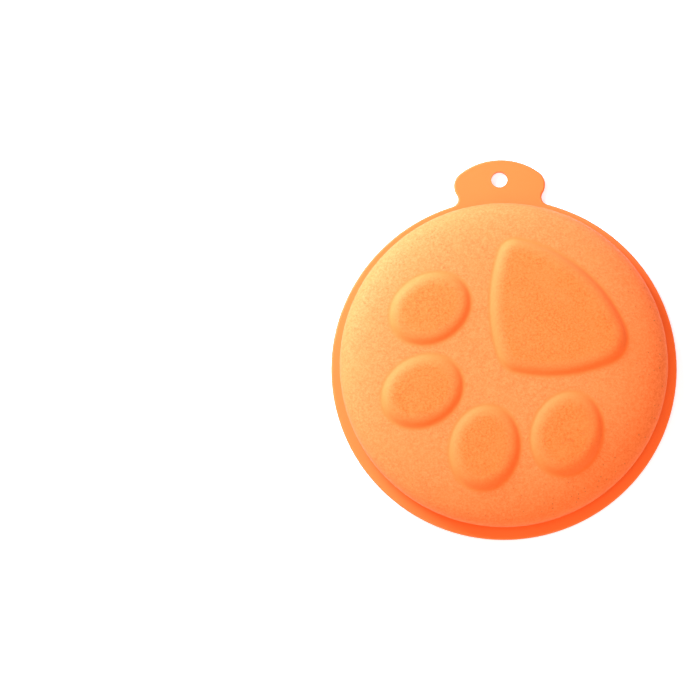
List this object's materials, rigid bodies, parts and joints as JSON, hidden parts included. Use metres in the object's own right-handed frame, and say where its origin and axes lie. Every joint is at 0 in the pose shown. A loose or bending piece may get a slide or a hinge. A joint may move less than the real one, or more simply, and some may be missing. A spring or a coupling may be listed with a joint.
{
  "type": "pet hair catcher pad",
  "caption": "Round padded disc with a raised paw on its soft face, on a flat flexible tray with a holed hanging tab.",
  "frame": {"origin": "centre of the round tray's flat back face, which the pad lies on", "axes": "+Z out of the padded face, +Y from the disc's centre towards the hanging tab"},
  "size_m": [0.085, 0.0949, 0.0126],
  "materials": {
    "tray": "satin",
    "cover": "matte",
    "foam": "matte",
    "adhesive": "satin"
  },
  "bodies": {
    "root": {"backing_tray": "tray", "hem_bond": "adhesive", "core_bond": "adhesive", "foam_core": "foam", "pillow_cover": "cover", "toe_pad_outer_left": "foam", "toe_pad_inner_left": "foam", "toe_pad_inner_right": "foam", "toe_pad_outer_right": "foam", "palm_pad": "foam"}
  },
  "joints": []
}
